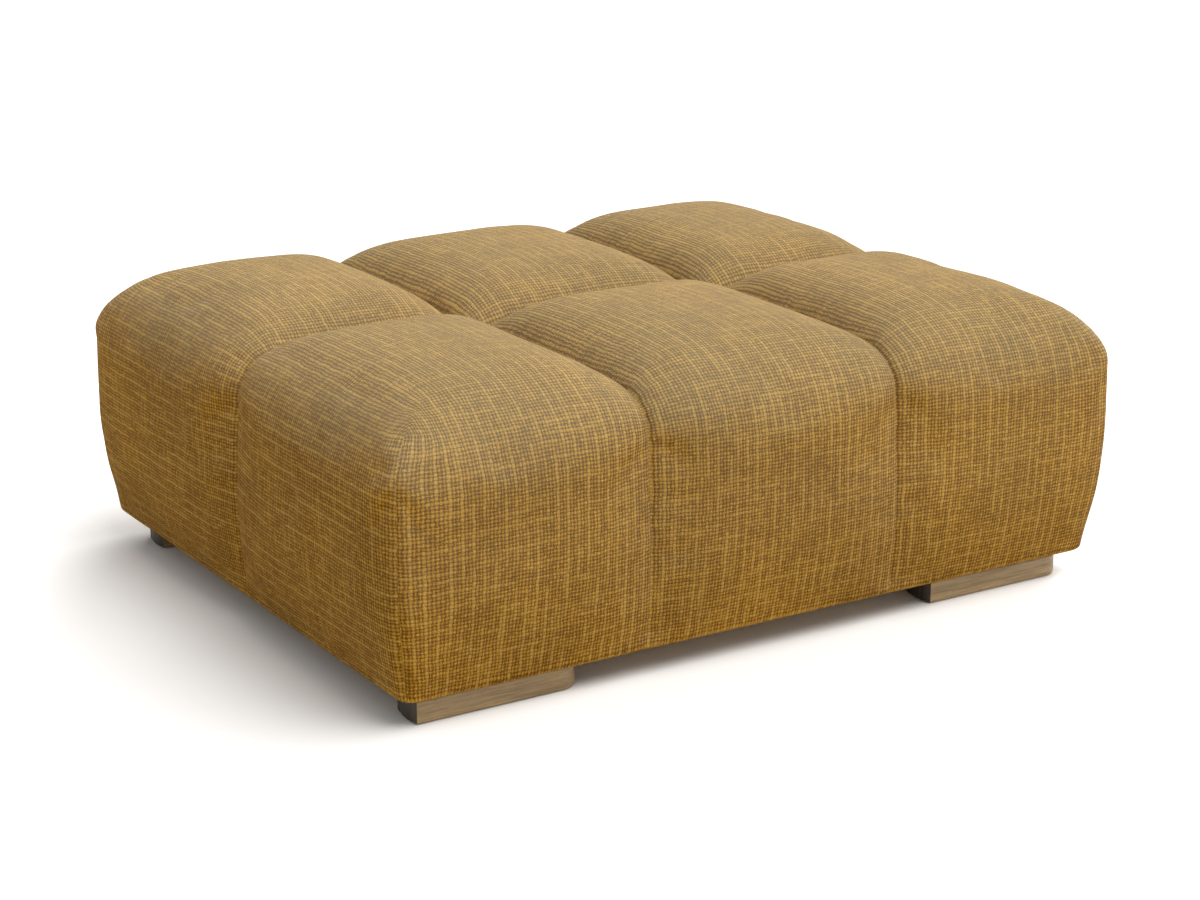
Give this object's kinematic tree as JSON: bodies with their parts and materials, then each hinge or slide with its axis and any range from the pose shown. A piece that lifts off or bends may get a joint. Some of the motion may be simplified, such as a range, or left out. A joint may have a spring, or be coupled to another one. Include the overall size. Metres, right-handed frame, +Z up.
{
  "type": "ottoman with storage",
  "caption": "Low rectangular ottoman: a quilted, fabric-covered hood hinges up at the rear over a hidden storage box, on low wooden block feet.",
  "frame": {"origin": "on the floor under the middle of the ottoman, level with the soles of its feet", "axes": "+X along the long side, to the right as seen from the front; +Y towards the rear, where the hood is hinged; +Z up"},
  "size_m": [1.12, 0.92, 0.382],
  "materials": {
    "cover_fabric": "chunky slub weave, mustard",
    "foam": "open-cell upholstery foam",
    "lining_cloth": "non-woven dust cloth",
    "felt_mat": "needle felt",
    "rubber": "matte",
    "glide_plastic": "matte",
    "foot_wood": "smoked oak, satin",
    "fastener_steel": "zinc plated",
    "hinge_steel": "rolled, zinc plated",
    "strut_tube": "satin black",
    "strut_rod": "polished",
    "bracket_steel": "satin black",
    "board": "birch plywood, plain"
  },
  "bodies": {
    "base": {"base_panel": "board", "box_floor_mat": "felt_mat", "box_front_panel": "board", "box_left_panel": "board", "box_rear_panel": "board", "box_right_panel": "board", "box_screws": "fastener_steel", "foot_bolts": "fastener_steel", "foot_front_left": "foot_wood", "foot_front_right": "foot_wood", "foot_glides": "glide_plastic", "foot_rear_left": "foot_wood", "foot_rear_right": "foot_wood", "hinge_base_leaf": "hinge_steel", "hinge_base_screws": "fastener_steel", "hinge_pin": "hinge_steel", "hood_buffers": "rubber", "strut_base_screws": "fastener_steel", "strut_left_base_bracket": "bracket_steel", "strut_right_base_bracket": "bracket_steel"},
    "hood": {"cover": "cover_fabric", "front_pad_centre": "foam", "front_pad_left": "foam", "front_pad_right": "foam", "hinge_hood_leaf": "hinge_steel", "hinge_hood_screws": "fastener_steel", "hood_front_board": "board", "hood_left_board": "board", "hood_lining": "lining_cloth", "hood_post_front_left": "board", "hood_post_front_right": "board", "hood_post_rear_left": "board", "hood_post_rear_right": "board", "hood_rear_board": "board", "hood_right_board": "board", "hood_screws": "fastener_steel", "hood_top_board": "board", "left_pad_front": "foam", "left_pad_rear": "foam", "rear_pad_centre": "foam", "rear_pad_left": "foam", "rear_pad_right": "foam", "right_pad_front": "foam", "right_pad_rear": "foam", "strut_hood_screws": "fastener_steel", "strut_left_hood_bracket": "bracket_steel", "strut_right_hood_bracket": "bracket_steel", "top_pad_front_centre": "foam", "top_pad_front_left": "foam", "top_pad_front_right": "foam", "top_pad_rear_centre": "foam", "top_pad_rear_left": "foam", "top_pad_rear_right": "foam"},
    "strut_left_cylinder": {"strut_left_cylinder": "strut_tube"},
    "strut_left_rod": {"strut_left_rod": "strut_rod"},
    "strut_right_cylinder": {"strut_right_cylinder": "strut_tube"},
    "strut_right_rod": {"strut_right_rod": "strut_rod"}
  },
  "joints": [
    {"name": "hood_hinge", "type": "hinge", "parent": "base", "child": "hood", "pos_m": [0, 0.411, 0.048], "axis": [-1, 0, 0], "range_deg": [0, 58]},
    {"name": "strut_left_swing", "type": "hinge", "parent": "base", "child": "strut_left_cylinder", "pos_m": [-0.481, 0.246, 0.064], "axis": [-1, 0, 0], "range_deg": [0, 27.95]},
    {"name": "strut_left_slide", "type": "slide", "parent": "strut_left_cylinder", "child": "strut_left_rod", "axis": [0, 0.6345, 0.7729], "range_m": [0, 0.112]},
    {"name": "strut_right_swing", "type": "hinge", "parent": "base", "child": "strut_right_cylinder", "pos_m": [0.481, 0.246, 0.064], "axis": [-1, 0, 0], "range_deg": [0, 27.95]},
    {"name": "strut_right_slide", "type": "slide", "parent": "strut_right_cylinder", "child": "strut_right_rod", "axis": [0, 0.6345, 0.7729], "range_m": [0, 0.112]}
  ],
  "couplings": [
    {"joint": "strut_left_swing", "follows": "hood_hinge", "ratio": 0.48105},
    {"joint": "strut_left_slide", "follows": "hood_hinge", "m_per_rad": 0.11046},
    {"joint": "strut_right_swing", "follows": "hood_hinge", "ratio": 0.48105},
    {"joint": "strut_right_slide", "follows": "hood_hinge", "m_per_rad": 0.11046}
  ]
}
